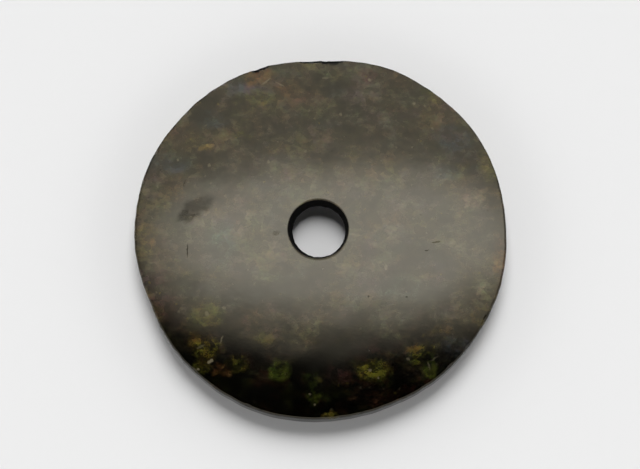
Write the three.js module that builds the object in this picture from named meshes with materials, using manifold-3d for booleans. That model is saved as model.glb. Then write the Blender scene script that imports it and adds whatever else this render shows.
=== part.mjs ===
// A jade bi: a flat round disc of dark nephrite with one hole, sawn, drilled and ground by hand.
// The hole was drilled from both faces and meets in a ridge, it sits a little off centre, the
// outline has flats and swells left by the grinding, and the edge is broken in three places.
// Millimetres, +Z up. The disc lies on its underside, which is at z = 0.

import * as THREE from 'three';
import { mergeVertices } from 'three/addons/utils/BufferGeometryUtils.js';
import Module from 'manifold-3d';

// Driving dimensions of the disc
const DISC_RADIUS = 100;
const THICKNESS = 10.5;
const FLAT_RADIUS = 70;
const UPPER_FALL = 0.2;
const UNDERSIDE_RISE = 0.2;
const RIM_ROUNDING_ACROSS = 1.0;
const RIM_ROUNDING_DOWN = 1.4;

// The drilled hole: its mouths, the ridge where the two drillings meet, and how far it is off centre
const MOUTH_RADIUS = 16.3;
const RIDGE_RADIUS = 14.2;
const RIDGE_DEPTH = 4.2;
const MOUTH_ROUNDING = 0.5;
const HOLE_OFFSET = new THREE.Vector2(-1.4, 2.2);

// Flats (negative) and swells (positive) of the ground outline: where each one is, counter-clockwise
// from +X, how far it reaches to either side, both in degrees, and how far it stands off the circle
const OUTLINE_SWELLS = [
  { at: 36, reach: 13, rise: 1.3 },
  { at: 66, reach: 8, rise: 0.9 },
  { at: 92, reach: 9, rise: -1.8 },
  { at: 128, reach: 9, rise: 0.5 },
  { at: 156, reach: 9, rise: 0.8 },
  { at: 202, reach: 9, rise: -1.8 },
  { at: 251, reach: 13, rise: 1.2 },
  { at: 292, reach: 9, rise: -0.5 },
  { at: 325, reach: 9, rise: -0.6 },
  { at: 2, reach: 9, rise: -0.6 },
];

// Flake scars on the upper edge, two of them side by side in one nick at the far side. Each is a
// shallow bowl: where its middle is, in degrees, how long it is along the edge and how deep it is
const FLAKE_SCARS = [
  { at: 92.7, length: 11.5, depth: 1.1 },
  { at: 86.3, length: 12.5, depth: 1.1 },
  { at: 109.7, length: 8.5, depth: 0.8 },
];
const SCAR_SLOPE = THREE.MathUtils.degToRad(50);

// How finely the curved surfaces are divided
const RIM_STEPS = 120;
const ROUNDING_STEPS = 3;
const BALL_STEPS_AROUND = 28;
const BALL_STEPS_DOWN = 20;

// How far the outline stands off the circle at an angle: every flat and swell fades as a bell curve.
function outlineRise(angle) {
  let rise = 0;
  for (const swell of OUTLINE_SWELLS) {
    const away = THREE.MathUtils.radToDeg(angle) - swell.at;
    const turned = away - 360 * Math.round(away / 360);
    rise += swell.rise * Math.exp(-0.5 * (turned / swell.reach) ** 2);
  }
  return rise;
}

// The radius of one of the hole's two cones at a depth below its mouth.
function wallRadius(depth, drilledDepth) {
  return THREE.MathUtils.lerp(MOUTH_RADIUS, RIDGE_RADIUS, depth / drilledDepth);
}

// Half of the disc's cut section, counter-clockwise from the hole's ridge: down the lower cone, out
// along the underside, up the rounded rim, back along the upper face and down the upper cone.
function discSection() {
  const ridgeHeight = THICKNESS - RIDGE_DEPTH;
  const rimTop = THICKNESS - UPPER_FALL;
  const rimInner = DISC_RADIUS - RIM_ROUNDING_ACROSS;
  const mouthEnd = MOUTH_RADIUS + MOUTH_ROUNDING;
  const lowerWall = wallRadius(MOUTH_ROUNDING, ridgeHeight);
  const upperWall = wallRadius(MOUTH_ROUNDING, RIDGE_DEPTH);
  const fallMiddle = (FLAT_RADIUS + rimInner) / 2;
  const section = new THREE.Path();
  section.moveTo(RIDGE_RADIUS, ridgeHeight);
  section.lineTo(lowerWall, MOUTH_ROUNDING);
  section.quadraticCurveTo(MOUTH_RADIUS, 0, mouthEnd, 0);
  section.lineTo(FLAT_RADIUS, 0);
  section.quadraticCurveTo(fallMiddle, 0, rimInner, UNDERSIDE_RISE);
  section.quadraticCurveTo(DISC_RADIUS, UNDERSIDE_RISE, DISC_RADIUS, UNDERSIDE_RISE + RIM_ROUNDING_DOWN);
  section.lineTo(DISC_RADIUS, rimTop - RIM_ROUNDING_DOWN);
  section.quadraticCurveTo(DISC_RADIUS, rimTop, rimInner, rimTop);
  section.quadraticCurveTo(fallMiddle, THICKNESS, FLAT_RADIUS, THICKNESS);
  section.lineTo(mouthEnd, THICKNESS);
  section.quadraticCurveTo(MOUTH_RADIUS, THICKNESS, upperWall, THICKNESS - MOUTH_ROUNDING);
  section.lineTo(RIDGE_RADIUS, ridgeHeight);
  return section.getPoints(ROUNDING_STEPS);
}

// The disc before its edge was broken: the section is turned round the axis, then each ring slides
// from the off-centre hole to the uneven outline in proportion to its distance from the hole.
function groundDisc() {
  const disc = new THREE.LatheGeometry(discSection(), RIM_STEPS).rotateX(Math.PI / 2);
  const places = disc.attributes.position;
  for (let index = 0; index < places.count; index += 1) {
    const x = places.getX(index);
    const y = places.getY(index);
    const angle = Math.atan2(y, x);
    const radius = Math.hypot(x, y);
    const outward = THREE.MathUtils.clamp((radius - MOUTH_RADIUS) / (DISC_RADIUS - MOUTH_RADIUS), 0, 1);
    const uneven = radius + outward * outlineRise(angle);
    places.setX(index, uneven * Math.cos(angle) + (1 - outward) * HOLE_OFFSET.x);
    places.setY(index, uneven * Math.sin(angle) + (1 - outward) * HOLE_OFFSET.y);
  }
  return disc;
}

// The ball that leaves one flake scar. It cuts a bowl of the scar's length and depth into the upper
// edge, whose middle lies a quarter of the rounding in from the corner that the rounding cuts off.
function scarBall(scar) {
  const angle = THREE.MathUtils.degToRad(scar.at);
  const ballRadius = (scar.length ** 2 / 4 + scar.depth ** 2) / (2 * scar.depth);
  const standOff = ballRadius - scar.depth;
  const edgeRadius = DISC_RADIUS + outlineRise(angle) - RIM_ROUNDING_ACROSS / 4;
  const edgeHeight = THICKNESS - UPPER_FALL - RIM_ROUNDING_DOWN / 4;
  const reach = edgeRadius + standOff * Math.cos(SCAR_SLOPE);
  const height = edgeHeight + standOff * Math.sin(SCAR_SLOPE);
  const ball = new THREE.SphereGeometry(ballRadius, BALL_STEPS_AROUND, BALL_STEPS_DOWN);
  return ball.translate(reach * Math.cos(angle), reach * Math.sin(angle), height);
}

const wasm = await Module();
wasm.setup();

function toManifold(geometry) {
  const bare = geometry.clone();
  bare.deleteAttribute('normal');
  bare.deleteAttribute('uv');
  const closed = mergeVertices(bare, 1e-4);
  return new wasm.Manifold(new wasm.Mesh({
    numProp: 3,
    vertProperties: new Float32Array(closed.attributes.position.array),
    triVerts: new Uint32Array(closed.index.array),
  }));
}

function toGeometry(manifold) {
  const mesh = manifold.getMesh();
  const geometry = new THREE.BufferGeometry();
  geometry.setAttribute('position', new THREE.BufferAttribute(mesh.vertProperties, 3));
  geometry.setIndex(new THREE.BufferAttribute(mesh.triVerts, 1));
  geometry.computeVertexNormals();
  return geometry;
}

function brokenDisc() {
  let disc = toManifold(groundDisc());
  for (const scar of FLAKE_SCARS) {
    disc = disc.subtract(toManifold(scarBall(scar)));
  }
  return toGeometry(disc);
}

const nephrite = new THREE.MeshStandardMaterial({ color: 0x3a382b, roughness: 0.3, metalness: 0 });
const jadeDisc = new THREE.Mesh(brokenDisc(), nephrite);
jadeDisc.name = 'jade_disc';

// The origin is the middle of the disc's box, at its underside.
const spread = new THREE.Box3().setFromObject(jadeDisc);
jadeDisc.position.set(-(spread.min.x + spread.max.x) / 2, -(spread.min.y + spread.max.y) / 2, 0);

const bi = new THREE.Group();
bi.add(jadeDisc);

export default bi;
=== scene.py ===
# A jade bi: a flat round disc of dark, worn nephrite with one hole through it, lying on its underside.
# Metres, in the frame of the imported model: +Z up, the nicked side of the edge towards +Y.

import bpy
import numpy as np
from mathutils import Matrix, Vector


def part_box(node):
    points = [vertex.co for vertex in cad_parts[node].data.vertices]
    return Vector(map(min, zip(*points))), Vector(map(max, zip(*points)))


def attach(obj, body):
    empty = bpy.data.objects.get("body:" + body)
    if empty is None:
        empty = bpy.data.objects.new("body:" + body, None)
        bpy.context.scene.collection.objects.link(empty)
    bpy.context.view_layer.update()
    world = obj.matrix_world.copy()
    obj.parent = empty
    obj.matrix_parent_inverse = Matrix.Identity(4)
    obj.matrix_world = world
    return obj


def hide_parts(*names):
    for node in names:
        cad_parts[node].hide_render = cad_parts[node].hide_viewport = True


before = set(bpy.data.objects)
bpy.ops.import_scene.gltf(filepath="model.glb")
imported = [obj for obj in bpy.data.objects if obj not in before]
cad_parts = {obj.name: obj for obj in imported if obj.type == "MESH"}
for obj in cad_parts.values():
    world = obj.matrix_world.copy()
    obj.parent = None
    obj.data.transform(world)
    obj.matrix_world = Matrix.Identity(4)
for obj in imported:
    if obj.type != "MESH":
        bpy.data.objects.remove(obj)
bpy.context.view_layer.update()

# The disc
# One slab of nephrite, sawn flat, ground round by hand and polished with abrasive. Its hole was
# drilled from both faces with a tube and wet sand, so the two cones meet in a ridge, and flakes
# broke from its edge in later use. It is one piece and nothing is fixed to it.

MM = 0.001
DISC_RADIUS = 100 * MM
THICKNESS = 10.5 * MM
FLAT_RADIUS = 70 * MM
UPPER_FALL = 0.2 * MM
UNDERSIDE_RISE = 0.2 * MM
RIM_ROUNDING_ACROSS = 1.0 * MM
RIM_ROUNDING_DOWN = 1.4 * MM
MOUTH_RADIUS = 16.3 * MM
RIDGE_RADIUS = 14.2 * MM
RIDGE_DEPTH = 4.2 * MM
MOUTH_ROUNDING = 0.3 * MM
HOLE_OFFSET = np.array([-1.4, 2.2]) * MM
RIDGE_LEAN = np.array([0.4, -0.3]) * MM

# Flats and swells of the outline: where each is, how far it reaches (degrees), how far it stands off (mm)
OUTLINE_SWELLS = np.array([
    (36, 13, 1.3), (66, 8, 0.9), (92, 9, -1.8), (128, 9, 0.5), (156, 9, 0.8),
    (202, 9, -1.8), (251, 13, 1.2), (292, 9, -0.5), (325, 9, -0.6), (2, 9, -0.6),
])

# What is too small for the solid: the hand's tremor in the outline and in the bore, the rings that the
# drill left, and low swells of the face (shortest and longest wave and height in mm, and a seed)
OUTLINE_TREMOR = 0.06 * MM
BORE_TREMOR = 0.07 * MM
DRILL_RING_DEPTH = 0.05 * MM
DRILL_RING_PITCH = 1.3 * MM
FACE_SWELLS = [(45, 110, 0.014, 11), (14, 34, 0.004, 12)]

# Flake scars on the upper edge: where each is (degrees), its length along the edge and its depth (mm).
# Small nicks are strewn round both edges, with depths as a share of their lengths
FLAKE_SCARS = [
    (93.2, 12, 0.65), (91.3, 5, 0.8), (88.7, 6, 1.25), (86.4, 12, 0.9), (110.8, 6, 1.3), (108.5, 7, 0.8),
]
SCAR_SLOPE = np.radians(55)
NICKS = 46
NICK_LENGTHS = (1.2, 4.2)
NICK_DEPTHS = (0.07, 0.13)

AROUND_STEPS = 800
SHARP_EDGE = np.radians(20)


def outline_rise(angle):
    """How far the ground outline stands off the circle: each flat and swell fades as a bell curve of
    the angle from its middle, and all of them are added up."""
    at, reach, rise = OUTLINE_SWELLS.T
    away = np.degrees(angle)[..., None] - at
    away = away - 360 * np.round(away / 360)
    return (rise * np.exp(-0.5 * (away / reach) ** 2)).sum(axis=-1) * MM


def straight(start, end, steps):
    """Points in even steps along the line from start to end, without the end."""
    along = np.arange(steps)[:, None] / steps
    return np.array(start) * (1 - along) + np.array(end) * along


def rounded(start, corner, end, steps, crowding=1.0):
    """Points along the parabola that leaves start towards the corner and comes to end from it,
    (1-t)(1-t) start + 2t(1-t) corner + t t end, without the end. Crowding over 1 brings them closer
    together at the start: t is the even share of the way to that power."""
    t = (np.arange(steps)[:, None] / steps) ** crowding
    return (1 - t) ** 2 * np.array(start) + 2 * t * (1 - t) * np.array(corner) + t ** 2 * np.array(end)


def disc_section():
    """Half of the cut section as radius and height, counter-clockwise from the hole's ridge: down the
    lower cone, out under the disc, up the rim, in along the upper face, down the upper cone."""
    ridge_height = THICKNESS - RIDGE_DEPTH
    rim_top = THICKNESS - UPPER_FALL
    rim_inner = DISC_RADIUS - RIM_ROUNDING_ACROSS
    mouth_end = MOUTH_RADIUS + MOUTH_ROUNDING
    widening = MOUTH_RADIUS - RIDGE_RADIUS
    lower_wall = MOUTH_RADIUS - widening * MOUTH_ROUNDING / ridge_height
    upper_wall = MOUTH_RADIUS - widening * MOUTH_ROUNDING / RIDGE_DEPTH
    fall_middle = (FLAT_RADIUS + rim_inner) / 2
    ridge = (RIDGE_RADIUS, ridge_height)
    lower_lip = (lower_wall, MOUTH_ROUNDING)
    lower_mouth = (mouth_end, 0)
    under_flat = (FLAT_RADIUS, 0)
    under_rim = (rim_inner, UNDERSIDE_RISE)
    rim_foot = (DISC_RADIUS, UNDERSIDE_RISE + RIM_ROUNDING_DOWN)
    rim_head = (DISC_RADIUS, rim_top - RIM_ROUNDING_DOWN)
    upper_rim = (rim_inner, rim_top)
    upper_flat = (FLAT_RADIUS, THICKNESS)
    upper_mouth = (mouth_end, THICKNESS)
    upper_lip = (upper_wall, THICKNESS - MOUTH_ROUNDING)
    return np.concatenate([
        straight(ridge, lower_lip, steps=8),
        rounded(lower_lip, (MOUTH_RADIUS, 0), lower_mouth, steps=4),
        straight(lower_mouth, under_flat, steps=16),
        rounded(under_flat, (fall_middle, 0), under_rim, steps=8),
        rounded(under_rim, (DISC_RADIUS, UNDERSIDE_RISE), rim_foot, steps=7),
        straight(rim_foot, rim_head, steps=12),
        rounded(rim_head, (DISC_RADIUS, rim_top), upper_rim, steps=8),
        rounded(upper_rim, (fall_middle, THICKNESS), upper_flat, steps=18, crowding=1.6),
        straight(upper_flat, upper_mouth, steps=31),
        rounded(upper_mouth, (MOUTH_RADIUS, THICKNESS), upper_lip, steps=4),
        straight(upper_lip, ridge, steps=8),
    ])


def crowded_angles(steps, middle=95, reach=18, crowding=1.6):
    """Angles round the disc that lie closer together near the scars: even steps of the running sum of
    1 + crowding times a bell curve about the middle (degrees)."""
    fine = np.linspace(0, 360, 3601)
    weight = 1 + crowding * np.exp(-0.5 * ((fine - middle) / reach) ** 2)
    running = np.concatenate([[0], np.cumsum((weight[1:] + weight[:-1]) / 2)])
    return np.radians(np.interp(np.arange(steps) / steps, running / running[-1], fine))


def tremor(angle, fewest, most, height, seed):
    """The small waves that a hand leaves round the disc: cosines of fewest to most waves a turn, each
    with a chance phase and a height that falls as one over the square root of its number."""
    count = np.arange(fewest, most)
    phase = np.random.default_rng(seed).uniform(0, 2 * np.pi, count.size)
    share = np.sqrt(1 / count)
    waves = np.cos(angle[..., None] * count + phase) * share
    return height * waves.sum(axis=-1) / np.sqrt((share ** 2).sum() / 2)


def unevenness(x, y, shortest, longest, height, seed, waves=24):
    """Low swells that grinding leaves on the face: plane waves in chance directions, with lengths
    between shortest and longest, added up to about the given height."""
    chance = np.random.default_rng(seed)
    heading = chance.uniform(0, 2 * np.pi, waves)
    length = chance.uniform(shortest, longest, waves)
    phase = chance.uniform(0, 2 * np.pi, waves)
    across = x[..., None] * np.cos(heading) + y[..., None] * np.sin(heading)
    return height * np.sin(2 * np.pi * across / length + phase).sum(axis=-1) / np.sqrt(waves / 2)


def break_edge(points, at, length, depth, upper=True):
    """Take a flake from an edge: every point inside a ball goes straight out to its skin. The ball has
    the radius (length squared / 4 + depth squared) / (2 depth). Its middle stands off the rounded edge,
    which is a quarter of the rounding in from the sharp corner, by that radius less the depth, outwards
    and upwards (or downwards) at the scar's slope. Gives back which points were inside."""
    angle = np.radians(at)
    ball_radius = (length ** 2 / 4 + depth ** 2) / (2 * depth)
    stand_off = ball_radius - depth
    reach = DISC_RADIUS + outline_rise(angle) - RIM_ROUNDING_ACROSS / 4 + stand_off * np.cos(SCAR_SLOPE)
    corner = THICKNESS - UPPER_FALL - RIM_ROUNDING_DOWN / 4
    height = corner + stand_off * np.sin(SCAR_SLOPE)
    if not upper:
        height = THICKNESS - height
    middle = np.array([reach * np.cos(angle), reach * np.sin(angle), height])
    away = points - middle
    distance = np.linalg.norm(away, axis=-1)
    inside = np.clip(ball_radius - distance, 0, None)
    points += away * (inside / distance)[..., None]
    return inside > 0


def ground_disc():
    """The whole disc as a grid of points, one row for each angle and one column for each point of the
    section. Each ring slides from the off-centre hole to the uneven outline in proportion to its
    distance from the hole. The outline's tremor fades inwards with the eighth power of that distance,
    and the face's swells fade downwards with the sixth power of the height. Gives back the points, and
    which of them are in a flake scar."""
    angle = crowded_angles(AROUND_STEPS)[:, None]
    radius, height = disc_section().T[:, None, :]
    outward = np.clip((radius - MOUTH_RADIUS) / (DISC_RADIUS - MOUTH_RADIUS), 0, 1)
    drilled = 1 - np.clip((radius - RIDGE_RADIUS) / (MOUTH_RADIUS - RIDGE_RADIUS), 0, 1)
    rings = DRILL_RING_DEPTH * np.sin(2 * np.pi * height / DRILL_RING_PITCH) * (radius < MOUTH_RADIUS)
    uneven = radius + outward * outline_rise(angle)
    uneven = uneven + outward ** 8 * tremor(angle, 20, 90, OUTLINE_TREMOR, seed=3)
    uneven = uneven + drilled * tremor(angle, 3, 30, BORE_TREMOR, seed=5) + rings
    x = uneven * np.cos(angle) + (1 - outward) * HOLE_OFFSET[0] + drilled * RIDGE_LEAN[0]
    y = uneven * np.sin(angle) + (1 - outward) * HOLE_OFFSET[1] + drilled * RIDGE_LEAN[1]
    swell = sum(unevenness(x, y, shortest * MM, longest * MM, rise * MM, seed)
                for shortest, longest, rise, seed in FACE_SWELLS)
    points = np.stack([x, y, height + swell * (height / THICKNESS) ** 6], axis=-1)
    scarred = np.zeros(x.shape, dtype=bool)
    for at, length, depth in FLAKE_SCARS:
        scarred |= break_edge(points, at, length * MM, depth * MM)
    chance = np.random.default_rng(21)
    for number in range(NICKS):
        at = chance.uniform(0, 360)
        length = chance.uniform(*NICK_LENGTHS)
        depth = length * chance.uniform(*NICK_DEPTHS)
        break_edge(points, at, length * MM, depth * MM, upper=number % 3 > 0)
    return points, scarred


def closed_skin(rows, columns):
    """Four-sided faces between neighbouring points of a grid that closes on itself both ways."""
    row, column = np.mgrid[0:rows, 0:columns]
    next_row, next_column = (row + 1) % rows, (column + 1) % columns
    corners = [(row, column), (next_row, column), (next_row, next_column), (row, next_column)]
    return np.stack([r * columns + c for r, c in corners], axis=-1).reshape(-1, 4)


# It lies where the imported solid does: their boxes share their middle and their lowest height
points, scarred = ground_disc()
low, high = np.array(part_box("jade_disc"))
shift = (low + high - points.max(axis=(0, 1)) - points.min(axis=(0, 1))) / 2
points += [shift[0], shift[1], low[2]]
skin = bpy.data.meshes.new("jade_disc_polished")
skin.from_pydata(points.reshape(-1, 3), [], closed_skin(*scarred.shape))
skin.shade_smooth()
skin.set_sharp_from_angle(angle=SHARP_EDGE)
disc = bpy.data.objects.new("jade_disc_polished", skin)
bpy.context.scene.collection.objects.link(disc)

nephrite = bpy.data.materials.new("worn_nephrite")
nephrite.use_nodes = True
tree = nephrite.node_tree
shader = tree.nodes["Principled BSDF"]


def add(kind, feeds=(), **settings):
    """Add a shader node of a kind to the tree in hand: its settings by name, and each feed a socket's
    name or number with the number, colour or socket that goes into it."""
    node = tree.nodes.new("ShaderNode" + kind)
    for name, value in settings.items():
        setattr(node, name, value)
    for socket, source in feeds:
        if isinstance(source, bpy.types.NodeSocket):
            tree.links.new(source, node.inputs[socket])
        else:
            node.inputs[socket].default_value = source
    return node


def reckon(operation, *values):
    """One step of arithmetic on numbers and sockets."""
    return add("Math", enumerate(values), operation=operation).outputs[0]


def step_up(value, foot, head, lowest=0.0, highest=1.0):
    """A smooth rise from lowest to highest as the value goes from foot to head."""
    feeds = enumerate((value, foot, head, lowest, highest))
    return add("MapRange", feeds, interpolation_type="SMOOTHSTEP").outputs[0]


def clouds(place, size, seed, detail=3.0, roughness=0.5, stretch=(1, 1, 1)):
    """Noise whose clouds are about one size across, taken far from the other layers by its seed."""
    shifted = add("Mapping", [("Vector", place), ("Location", (seed * 0.37, seed * 0.61, seed * 0.83)),
                              ("Scale", stretch)]).outputs[0]
    feeds = [("Vector", shifted), ("Scale", 1 / size), ("Detail", detail), ("Roughness", roughness)]
    return add("TexNoise", feeds).outputs[0]


def coat(under, over, cover, blend="MIX"):
    """Lay one colour over another, as far as the cover says."""
    feeds = [(0, cover), (6, under), (7, over)]
    return add("Mix", feeds, data_type="RGBA", blend_type=blend, clamp_factor=True).outputs[2]


def paint(red, green, blue):
    """A linear colour given in thousandths, as a four-number colour."""
    return (red / 1000, green / 1000, blue / 1000, 1)


def shake(place, size, reach, seed):
    """The place moved by noise in every direction, so that what is drawn on it gets ragged edges."""
    shifted = add("VectorMath", [(0, place), (1, (seed * 0.29, seed * 0.47, seed * 0.71))]).outputs[0]
    noise = add("TexNoise", [("Vector", shifted), ("Scale", 1 / size), ("Detail", 4.0), ("Roughness", 0.6)])
    centred = add("VectorMath", [(0, noise.outputs["Color"]), (1, (0.5, 0.5, 0.5))], operation="SUBTRACT")
    return add("VectorMath", [(0, centred.outputs[0]), (1, (2 * reach,) * 3), (2, place)],
               operation="MULTIPLY_ADD").outputs[0]


def flecks(place, spacing, largest, share, seed):
    """Scattered specks: in cells one spacing across, the share of them that chance picks holds a spot
    of 0.3 to 1 times the largest radius about its middle."""
    shifted = add("VectorMath", [(0, place), (1, (seed * 0.31, seed * 0.53, seed * 0.67))]).outputs[0]
    cells = add("TexVoronoi", [("Vector", shifted), ("Scale", 1 / spacing)])
    lot, width, _ = add("SeparateColor", [(0, cells.outputs["Color"])]).outputs
    picked = reckon("GREATER_THAN", lot, 1 - share)
    radius = reckon("MULTIPLY_ADD", width, 0.7 * largest / spacing, 0.3 * largest / spacing)
    nearness = reckon("SUBTRACT", 1, reckon("DIVIDE", cells.outputs["Distance"], radius))
    return reckon("MULTIPLY", picked, step_up(nearness, 0.0, 0.5))


def about_one(noise, contrast, least=0.1):
    """Noise about a half turned into a factor about 1, so many times as strong, and never under the
    least."""
    factor = add("VectorMath", [(0, noise), (1, (contrast,) * 3), (2, (1 - contrast / 2,) * 3)],
                 operation="MULTIPLY_ADD").outputs[0]
    return add("VectorMath", [(0, factor), (1, (least,) * 3)], operation="MAXIMUM").outputs[0]


place = add("TexCoord").outputs["Object"]
towards_nick = add("SeparateXYZ", [(0, place)]).outputs[1]
shaken = shake(place, 7 * MM, 4.5 * MM, seed=1)
trembling = shake(place, 2.5 * MM, 1.0 * MM, seed=4)
crumbled = shake(place, 1.6 * MM, 0.9 * MM, seed=2)

# The stone's own body: near-black olive, clouded where burial has weathered it, above all on the nicked
# half. The weathering drifts between violet-grey, blue-grey, olive and brown, in clouds with a colour, a
# size (mm), a seed and a strength
WEATHERED_SWAY = 60 * MM
WEATHERED_EDGE = (-16 * MM, 34 * MM)
CRUST = paint(22, 16, 8)
CLOUDS = [
    (paint(14, 15, 14), 32, 5, 0.7), (paint(19, 19, 10), 26, 6, 0.7), (paint(31, 21, 10), 24, 7, 0.7),
    (paint(20, 14, 13), 20, 9, 0.65), (paint(27, 24, 8), 14, 10, 0.5), (paint(7, 6, 4), 12, 12, 0.4),
    (paint(40, 34, 21), 9, 14, 0.45),
]
CORE = paint(0.4, 0.4, 0.2)
DIM_CORE = paint(2.2, 2.3, 0.5)
RED_CORE = paint(6, 2.2, 1.0)

broad = clouds(place, 38 * MM, seed=1, detail=2.0)
mottle = clouds(place, 16 * MM, seed=3, detail=5.0, roughness=0.8, stretch=(0.7, 1, 1))
lean = reckon("MULTIPLY_ADD", broad, WEATHERED_SWAY, towards_nick)
lean = reckon("MULTIPLY_ADD", mottle, WEATHERED_SWAY, lean)
crust = CRUST
for colour, size, seed, strength in CLOUDS:
    cloud = clouds(place, size * MM, seed, detail=4.0, roughness=0.6, stretch=(0.7, 1, 1))
    crust = coat(crust, colour, reckon("MULTIPLY", step_up(cloud, 0.5, 0.62), strength))
dim_cloud = step_up(clouds(place, 12 * MM, seed=13, detail=4.0, roughness=0.6), 0.48, 0.66)
red_cloud = step_up(clouds(place, 9 * MM, seed=16, detail=4.0, roughness=0.6), 0.5, 0.62)
core = coat(CORE, DIM_CORE, dim_cloud)
core = coat(core, RED_CORE, reckon("MULTIPLY", red_cloud, 0.5))
body = coat(core, crust, step_up(lean, *WEATHERED_EDGE))

# Stains and clouds that stand out on the upper face, each an oval that fades with depth: the colour, where
# its middle is and half its length and width (mm), how it is turned (degrees) and how strong it is. The
# near-black shade ovals are painted shade, where the reflection of the lamp and the cloth should look dimmer,
# and a few tan ovals and one ochre stain lighten the lamp's lower edge as painted sheen. The green clusters
# of the near side are broken up more than the rest
RUSSET = paint(74, 33, 10)
OCHRE = paint(62, 42, 8)
YELLOW_GREEN = paint(46, 42, 7)
OLIVE = paint(44, 38, 5)
MOSS = paint(17, 21, 3)
SLATE = paint(8, 13, 16)
SAGE = paint(14, 26, 18)
UMBER = paint(26, 14, 6)
MAROON = paint(15, 6, 5)
VIOLET = paint(22, 14, 19)
# Painted shade: the near-black colour of the ovals where the reflection should look dimmer
PAINTED_SHADE = paint(3, 2.5, 1.5)
# Tan is a pale stain colour, and also painted sheen in the ovals at the lamp's lower edge
TAN_AND_PAINTED_SHEEN = paint(62, 52, 30)
STAINS = [
    (RUSSET, -20, 83, 8, 4, -30, 0.4), (UMBER, -20, 80, 24, 8, 0, 0.5), (VIOLET, -39, 83, 11, 5, 0, 1.1),
    (RUSSET, -33, 90, 9, 5.5, 12, 0.95), (SLATE, -47, 84, 5, 8, 0, 0.6),
    (YELLOW_GREEN, -36, 77, 12, 5, 5, 0.6), (OCHRE, -31, 75, 2.5, 1.4, 10, 0.9),
    # The shade ovals in these two rows are painted shade along a dim stripe inside the upper left rim
    (PAINTED_SHADE, -62, 73, 12, 4.5, 46, 1.6), (SLATE, -58, 65, 12, 6, 10, 0.8), (UMBER, -75, 55, 12, 10, 40, 0.6),
    (PAINTED_SHADE, -77, 56, 8, 3, 40, 0.5), (OCHRE, -62, 49, 5, 2.2, 12, 0.8),
    (YELLOW_GREEN, -41, 56, 5, 2, -10, 0.6), (SLATE, -82, 40, 14, 6, 0, 0.8), (SLATE, 7, 82, 6, 5, 0, 0.5),
    (MAROON, 26, 90, 5, 5, 0, 1.1), (YELLOW_GREEN, 61, 79, 7, 3, -35, 0.8), (UMBER, 62, 66, 9, 7, 60, 0.5),
    (SLATE, 73, 54, 12, 8, -10, 0.9), (SLATE, 69, 35, 9, 5, 0, 0.7), (OLIVE, 91, 38, 5, 14, 12, 0.5),
    (OCHRE, 90, 23, 6, 4, 10, 0.6), (TAN_AND_PAINTED_SHEEN, 84, 20, 8, 6, 0, 0.85), (RUSSET, 95, -12, 3.5, 15, 3, 0.5),
    (OCHRE, 85, -44, 6, 6, 30, 0.5), (OCHRE, -93, -2, 6, 11, 0, 0.6), (OCHRE, -80, 20, 8, 8, 0, 0.3),
    # The shade oval at -66, 16 is painted shade over the dull blotch
    (MAROON, -83, -32, 9, 22, 12, 0.7), (SAGE, -53, -5, 9, 17, 0, 0.7), (PAINTED_SHADE, -66, 16, 11, 5, 32, 0.7),
    (SLATE, -38, -32, 12, 7, 0, 0.35), (SAGE, 43, -29, 12, 8, 0, 0.6), (SLATE, 60, -14, 9, 7, 0, 0.5),
    (YELLOW_GREEN, -60, -43, 10, 9, 10, 0.7), (OLIVE, -29, -56, 6, 5, 0, 0.3), (SLATE, 71, -60, 8, 6, 0, 0.5),
    # Painted shade in the shade ovals at 38, 42 (the lamp's upper edge) and -65, 58. Painted sheen in the tan
    # ovals at 65, -43 and 86, -31 (the lamp's lower edge) and in the ochre stain at 66, -50, strengthened
    # there
    (OCHRE, 66, -50, 9, 4, 20, 0.5), (MAROON, 30, -60, 14, 4, 0, 0.5), (PAINTED_SHADE, 38, 42, 12, 7, 0, 0.5),
    (PAINTED_SHADE, -65, 58, 10, 6, 10, 0.6), (TAN_AND_PAINTED_SHEEN, 0, 93, 11, 4, 0, 0.3), (TAN_AND_PAINTED_SHEEN, 65, -43, 9, 6, 20, 0.45),
    (TAN_AND_PAINTED_SHEEN, 86, -31, 5, 8, 10, 0.6),
]
GREEN_CLUSTERS = [
    (OCHRE, -62, -57, 8, 6, 20, 0.8), (OLIVE, -59, -62, 9, 6, 20, 0.9), (OLIVE, -62, -72, 6, 4, 20, 0.7),
    (OLIVE, -43, -69, 6, 5, 0, 0.6), (MOSS, -21, -74, 6, 7, 0, 0.9), (OLIVE, 28, -73, 9, 6, 5, 0.85),
    (OLIVE, 54, -64, 9, 6, 30, 0.7), (MOSS, 58, -72, 4, 7, 0, 1.0), (MOSS, -3, -79, 6, 6, 0, 0.5),
    (MOSS, -4, -88, 4, 5, 0, 0.6), (MAROON, 8, -76, 10, 5, 10, 0.5), (RUSSET, 49, -63, 5, 3, 0, 0.4),
    (RUSSET, 35, -65, 4, 2, 0, 0.5), (RUSSET, -52, -73, 6, 4, 0, 0.35), (UMBER, 26, -88, 12, 6, 0, 0.35),
    (OCHRE, 5, -97, 4.5, 2, 5, 1.0), (RUSSET, -58, -82, 3, 2, -40, 0.8), (RUSSET, 43, -90, 3, 2, 20, 0.8),
]
STAIN_DEPTH = 9 * MM
MARK_FADE = (1.25, 0.5)
CHIP_SIZE = 3.4 * MM
NUDGE = 1e-9


def after(coat_below, place):
    """The place, moved by a billionth of the coat below. That makes the renderer work the marks out one
    after another, because all at once they overfill its stack and the stone turns black."""
    return add("VectorMath", [(0, coat_below), (1, (NUDGE,) * 3), (2, place)],
               operation="MULTIPLY_ADD").outputs[0]


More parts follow.
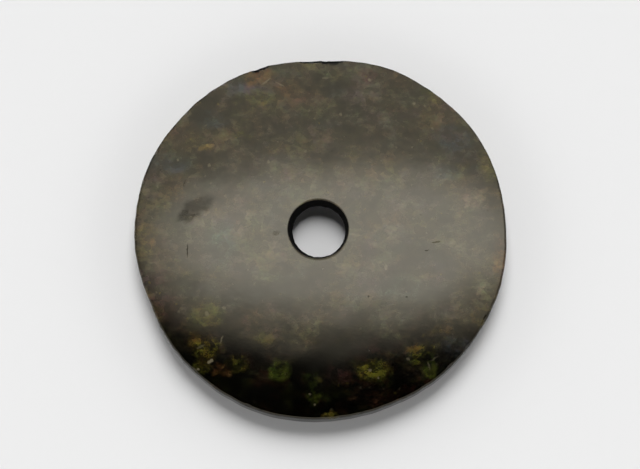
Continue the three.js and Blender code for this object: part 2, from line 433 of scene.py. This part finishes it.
def oval(place, middle_x, middle_y, half_length, half_width, turn):
    """How near the place is to an oval's middle, in three dimensions: 1 within half of its reach,
    fading to 0 by one and a quarter of it."""
    across = add("Mapping", [("Vector", place), ("Location", (middle_x * MM, middle_y * MM, THICKNESS)),
                             ("Rotation", (0, 0, np.radians(turn))),
                             ("Scale", (half_length * MM, half_width * MM, STAIN_DEPTH))],
                 vector_type="TEXTURE").outputs[0]
    return step_up(add("VectorMath", [(0, across)], operation="LENGTH").outputs["Value"], *MARK_FADE)


ragged = clouds(place, 10 * MM, seed=15, detail=5.0, roughness=0.8, stretch=(0.8, 1, 1))
chips = add("TexVoronoi", [("Vector", crumbled), ("Scale", 1 / CHIP_SIZE)])
lot, shade, _ = add("SeparateColor", [(0, chips.outputs["Color"])]).outputs
patchy = step_up(ragged, 0.42, 0.56, 0.5, 1.0)
clotted = step_up(reckon("MULTIPLY_ADD", lot, 0.12, ragged), 0.52, 0.64, 0.12, 1.0)
for marks, broken_up in ((STAINS, patchy), (GREEN_CLUSTERS, clotted)):
    for colour, *shape, strength in marks:
        cover = reckon("MULTIPLY", oval(after(body, shaken), *shape), reckon("MULTIPLY", broken_up, strength))
        body = coat(body, colour, cover)

# All of it is mottled: lighter and darker down to single grains, broken up like crushed stone, and
# tinged towards red, green or blue
MOTTLE_CONTRAST = 6.5
CHIP_SHADES = (0.6, 1.4)
TINGE_CONTRAST = 1.3
TINGE_SIZE = 12 * MM
light = reckon("MULTIPLY", about_one(mottle, MOTTLE_CONTRAST), step_up(shade, 0.0, 1.0, *CHIP_SHADES))
body = coat(body, add("CombineColor", [(0, light), (1, light), (2, light)]).outputs[0], 1.0, "MULTIPLY")
tinge = add("TexNoise", [("Vector", place), ("Scale", 1 / TINGE_SIZE), ("Detail", 5.0), ("Roughness", 0.8)])
body = coat(body, about_one(tinge.outputs["Color"], TINGE_CONTRAST), 1.0, "MULTIPLY")

# Grains of pale and yellow mineral, oftener where the stone is weathered, small black pits, pale veins
# drawn as narrow ovals, and a few larger pale crystals: where each is and its reach (mm), and a strength
PALE_GRAIN = paint(62, 52, 34)
YELLOW_GRAIN = paint(66, 50, 10)
PIT_BLACK = paint(0.5, 0.4, 0.2)
CREAM = paint(150, 128, 80)
VEINS = [
    (-29.6, 87, 3.2, 0.6, 40, 0.45), (-22.2, 85.5, 3.0, 0.5, -31, 0.4), (-52, -57, 0.5, 2.4, -20, 0.4),
    (3, 89, 2.0, 0.7, 0, 0.35), (-11, 89, 1.6, 0.8, 0, 0.15), (35, -18, 0.8, 1.8, 10, 0.4),
    (57, -71, 0.6, 2.4, 15, 0.2), (60, -67, 2.4, 0.6, 35, 0.15), (-63, -61, 2.6, 0.6, 20, 0.2),
]
CRYSTALS = [
    (27, 88, 1.0, 0.6), (-77, 42, 0.9, 0.4), (-60, 39, 0.9, 0.4), (-28, 41, 1.0, 0.4), (-8, 47, 0.9, 0.3),
    (51, 74, 0.8, 0.5), (57, 73, 0.8, 0.3), (61, 60, 0.8, 0.3), (11, 68, 0.9, 0.4), (-60, -43, 1.3, 0.4),
    (-51, -40, 1.1, 0.4), (-58.4, -69, 1.1, 0.7), (-57.2, -68.2, 0.9, 0.7), (-64, -73, 0.8, 0.6),
    (-5.5, -86, 0.7, 0.35), (-3, -91.6, 0.7, 0.3), (26, -73.5, 0.9, 0.4), (30.5, -77.6, 0.8, 0.35),
    (46, -67.5, 1.0, 0.3),
]


def spot(place, middle_x, middle_y, reach):
    """How near the place is to a small round spot's middle, by the same fade as an oval's."""
    far = add("VectorMath", [(0, place), (1, (middle_x * MM, middle_y * MM, THICKNESS))],
              operation="DISTANCE").outputs["Value"]
    return step_up(far, reach * MM * MARK_FADE[0], reach * MM * MARK_FADE[1])


pale_grains = flecks(crumbled, 4 * MM, 0.9 * MM, share=0.3, seed=1)
yellow_grains = flecks(crumbled, 5 * MM, 1.1 * MM, share=0.22, seed=2)
pits = flecks(crumbled, 4 * MM, 0.5 * MM, share=0.1, seed=3)
often = step_up(lean, *WEATHERED_EDGE, 0.15, 0.65)
body = coat(body, PALE_GRAIN, reckon("MULTIPLY", pale_grains, often))
body = coat(body, YELLOW_GRAIN, reckon("MULTIPLY", yellow_grains, often))
body = coat(body, PIT_BLACK, pits)
for drawn, marks in ((oval, VEINS), (spot, CRYSTALS)):
    for *shape, strength in marks:
        cover = reckon("MULTIPLY", drawn(after(body, trembling), *shape), strength)
        body = coat(body, CREAM, cover)
tree.links.new(body, shader.inputs["Base Color"])

# Polish: bright where it has kept, and dull in a few ragged or narrow patches, in scratches and in pits.
# Each patch is drawn on one of the moved places, with an oval's shape and how much duller it is
POLISH = 0.072
WEAR = 0.015
PIT_ROUGHNESS = 0.6
DULL_PATCHES = [
    (shaken, -66, 16, 11, 5, 32, 0.16), (shaken, -72, 10, 6, 4, 20, 0.12),
    (shaken, -24, 1, 2.5, 1.2, 25, 0.15), (trembling, 62, -4, 2.6, 0.4, 12, 0.5),
    (trembling, 57, -8.5, 1.5, 0.35, 0, 0.3), (trembling, -71, -9, 3.6, 0.4, 88, 0.4),
    (trembling, -73, 29, 2.5, 0.5, 60, 0.3),
]
worn = step_up(clouds(place, 16 * MM, seed=8, detail=4.0, roughness=0.6), 0.42, 0.68)
roughness = reckon("MULTIPLY_ADD", worn, WEAR, POLISH)
for where, *shape, dullness in DULL_PATCHES:
    patch = reckon("MULTIPLY", oval(after(roughness, where), *shape), patchy)
    roughness = reckon("MULTIPLY_ADD", patch, dullness, roughness)
roughness = reckon("MAXIMUM", roughness, reckon("MULTIPLY", pits, PIT_ROUGHNESS))
tree.links.new(roughness, shader.inputs["Roughness"])
shader.inputs["IOR"].default_value = 1.62
shader.inputs["Specular Tint"].default_value = (1.0, 0.95, 0.86, 1)

# Relief too small for the mesh: a soft grain, and pits
relief = reckon("MULTIPLY_ADD", pits, -0.5, mottle)
bump = add("Bump", [("Strength", 0.08), ("Distance", 0.1 * MM), ("Height", relief)])
tree.links.new(bump.outputs[0], shader.inputs["Normal"])

# Stone that was never polished, in the drilled hole and in the flake scars: matt, and painted near-black as
# shade, darker than the polished stone round it
# Both colours are painted shade, for the shade that falls in the hole and in the flake scars
BLACKER_PAINTED_SHADE = paint(0.4, 0.35, 0.2)
BLACK_PAINTED_SHADE = paint(3, 2.6, 1.6)
raw_nephrite_painted_shade = bpy.data.materials.new("raw_nephrite_painted_shade")
raw_nephrite_painted_shade.use_nodes = True
tree = raw_nephrite_painted_shade.node_tree
shader = tree.nodes["Principled BSDF"]
place = add("TexCoord").outputs["Object"]
raw_blotches = clouds(place, 1.5 * MM, seed=1)
tree.links.new(coat(BLACKER_PAINTED_SHADE, BLACK_PAINTED_SHADE, step_up(raw_blotches, 0.5, 0.75)), shader.inputs["Base Color"])
tree.links.new(step_up(raw_blotches, 0.3, 0.7, 0.7, 0.9), shader.inputs["Roughness"])
shader.inputs["Specular IOR Level"].default_value = 0.12
bump = add("Bump", [("Strength", 0.4), ("Distance", 0.1 * MM), ("Height", raw_blotches)])
tree.links.new(bump.outputs[0], shader.inputs["Normal"])

skin.materials.append(nephrite)
skin.materials.append(raw_nephrite_painted_shade)
radius = disc_section()[:, 0]
in_hole = (radius < MOUTH_RADIUS) & (np.roll(radius, -1) < MOUTH_RADIUS)
side_scarred = scarred & np.roll(scarred, -1, axis=0)
in_scar = side_scarred & np.roll(side_scarred, -1, axis=1)
skin.polygons.foreach_set("material_index", (in_hole | in_scar).ravel().astype(np.int32))
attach(disc, "root")
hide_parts("jade_disc")

# The table
# A broad sheet of matt white board. It isn't part of the object.

FLOOR_HALF = 4.0
BOARD_WHITE = (0.8, 0.8, 0.8, 1)
BOARD_ROUGHNESS = 0.9
BOARD_SHINE = 0.2


def flat_board(name, half, height):
    """A level square board about the origin, at a height."""
    corners = np.array([(-1, -1), (1, -1), (1, 1), (-1, 1)]) * half
    mesh = bpy.data.meshes.new(name)
    mesh.from_pydata(np.column_stack([corners, np.full(4, height)]), [], [(0, 1, 2, 3)])
    board = bpy.data.objects.new(name, mesh)
    bpy.context.scene.collection.objects.link(board)
    return board


floor = flat_board("floor", FLOOR_HALF, 0.0)
white_board = bpy.data.materials.new("white_board")
white_board.use_nodes = True
shader = white_board.node_tree.nodes["Principled BSDF"]
shader.inputs["Base Color"].default_value = BOARD_WHITE
shader.inputs["Roughness"].default_value = BOARD_ROUGHNESS
shader.inputs["Specular IOR Level"].default_value = BOARD_SHINE
floor.data.materials.append(white_board)

# The overhead scrim
# A dim white ceiling of cloth with one bright oval where its lamp shines through, and a black flag
# this side of it, whose far edge bows away at its ends. Only the polish sees it, and it isn't part of
# the object.

SCRIM_HEIGHT = 1.5
SCRIM_HALF = 1.3
SCRIM_FADE = 0.6
CLOTH_GLOW = 1.0
CLOTH_TINT = (1.0, 0.955, 0.79, 1)
LAMP_MIDDLE = (0.046, 0.395)
LAMP_HALF = (0.285, 0.103)
LAMP_FADE = (1.3, 0.7)
LAMP_GLOW = 3.2
LAMP_TINT = (1.0, 0.985, 0.9, 1)
FLAG_EDGE = (0.217, 0.277)
FLAG_NEAR_EDGE = (-0.02, -0.16)
FLAG_ENDS = (0.45, 0.7)
FLAG_MIDDLE = 0.06
FLAG_HALF = 0.3
FLAG_BOW = 0.035
BOW_POWER = 8

scrim = flat_board("scrim", SCRIM_HALF, SCRIM_HEIGHT)
for ray in ("camera", "diffuse", "transmission", "volume_scatter", "shadow"):
    setattr(scrim, "visible_" + ray, False)
glow = bpy.data.materials.new("scrim_glow")
glow.use_nodes = True
tree = glow.node_tree
tree.nodes.clear()
place = add("TexCoord").outputs["Object"]
sideways, towards_nick, _ = add("SeparateXYZ", [(0, place)]).outputs
from_lamp = add("Mapping", [("Vector", place), ("Location", (*LAMP_MIDDLE, SCRIM_HEIGHT)),
                            ("Scale", (*LAMP_HALF, 1))], vector_type="TEXTURE").outputs[0]
far = add("VectorMath", [(0, from_lamp)], operation="LENGTH").outputs["Value"]
lamp = step_up(far, *LAMP_FADE, 0.0, LAMP_GLOW - CLOTH_GLOW)
off_middle = reckon("ABSOLUTE", reckon("SUBTRACT", sideways, FLAG_MIDDLE))
bow = reckon("POWER", reckon("DIVIDE", off_middle, FLAG_HALF), BOW_POWER)
beyond = step_up(reckon("MULTIPLY_ADD", bow, -FLAG_BOW, towards_nick), *FLAG_EDGE)
before = step_up(towards_nick, *FLAG_NEAR_EDGE)
beside = step_up(reckon("ABSOLUTE", reckon("SUBTRACT", sideways, LAMP_MIDDLE[0])), *FLAG_ENDS)
unflagged = reckon("MAXIMUM", reckon("MAXIMUM", beyond, before), beside)
light = reckon("MULTIPLY", reckon("ADD", lamp, CLOTH_GLOW), unflagged)
from_middle = add("VectorMath", [(0, place), (1, (0, 0, SCRIM_HEIGHT))], operation="DISTANCE")
opaque = step_up(from_middle.outputs["Value"], SCRIM_HALF, SCRIM_HALF * SCRIM_FADE)
tint = coat(CLOTH_TINT, LAMP_TINT, step_up(far, *LAMP_FADE))
emission = add("Emission", [("Color", tint), ("Strength", light)]).outputs[0]
clear = add("BsdfTransparent").outputs[0]
mixed = add("MixShader", [(0, opaque), (1, clear), (2, emission)]).outputs[0]
add("OutputMaterial", [("Surface", mixed)])
scrim.data.materials.append(glow)

# The light
# One large soft lamp from the far side and a white surround that is lit low down, for matt surfaces.
# The polish sees a plain room instead, and the camera a plain pale backdrop.

KEY_RISE = np.radians(43)
KEY_TURN = np.radians(2)
KEY_SPREAD = np.radians(40)
KEY_STRENGTH = 3.1
KEY_DISTANCE = 3.0
SURROUND_GLOW = 2.8
SURROUND_EDGE = (0.5, 0.25)
ROOM_LOW_DOWN = 0.65
ROOM_OVERHEAD = 0.3
BACKDROP_GLOW = 0.86


def aim(thing, place, target):
    """Put a camera or lamp at a place, looking at the target with its top upwards."""
    back = np.array(place) - np.array(target)
    back = back / np.linalg.norm(back)
    right = np.cross((0, 0, 1), back)
    right = right / np.linalg.norm(right)
    up = np.cross(back, right)
    thing.location = place
    thing.rotation_euler = Matrix(np.column_stack([right, up, back]).tolist()).to_euler()


key = bpy.data.lights.new("key", "SUN")
key.angle = KEY_SPREAD
key.energy = KEY_STRENGTH
key_lamp = bpy.data.objects.new("key", key)
key_lamp.visible_glossy = False
bpy.context.scene.collection.objects.link(key_lamp)
level = np.cos(KEY_RISE)
key_way = np.array([np.sin(KEY_TURN) * level, np.cos(KEY_TURN) * level, np.sin(KEY_RISE)])
aim(key_lamp, key_way * KEY_DISTANCE, (0, 0, 0))

room = bpy.data.worlds.new("room")
room.use_nodes = True
bpy.context.scene.world = room
tree = room.node_tree
tree.nodes.clear()
rays = add("LightPath").outputs
way_up = add("SeparateXYZ", [(0, add("TexCoord").outputs["Generated"])]).outputs[2]
surround = step_up(way_up, *SURROUND_EDGE, 0.0, SURROUND_GLOW)
in_the_polish = step_up(way_up, 0.0, 1.0, ROOM_LOW_DOWN, ROOM_OVERHEAD)
to_polish = reckon("SUBTRACT", in_the_polish, surround)
to_backdrop = reckon("SUBTRACT", BACKDROP_GLOW, surround)
strength = reckon("MULTIPLY_ADD", rays["Is Glossy Ray"], to_polish, surround)
strength = reckon("MULTIPLY_ADD", rays["Is Camera Ray"], to_backdrop, strength)
background = add("Background", [("Color", (1, 1, 1, 1)), ("Strength", strength)]).outputs[0]
add("OutputWorld", [("Surface", background)])

# The camera
# Above and a little in front, with a long lens, the nicked side of the edge away from it.

CAMERA_TILT = np.radians(15)
CAMERA_DISTANCE = 0.9565
CAMERA_AIM = np.array([-0.00016, 0.0016, 0.00525])
LENS_LENGTH = 100
SENSOR_WIDTH = 36

lens = bpy.data.cameras.new("camera")
lens.lens = LENS_LENGTH
lens.sensor_width = SENSOR_WIDTH
camera = bpy.data.objects.new("camera", lens)
bpy.context.scene.collection.objects.link(camera)
camera_way = np.array([0, -np.sin(CAMERA_TILT), np.cos(CAMERA_TILT)])
aim(camera, CAMERA_AIM + camera_way * CAMERA_DISTANCE, CAMERA_AIM)
bpy.context.scene.camera = camera
bpy.context.scene.view_settings.view_transform = "Standard"
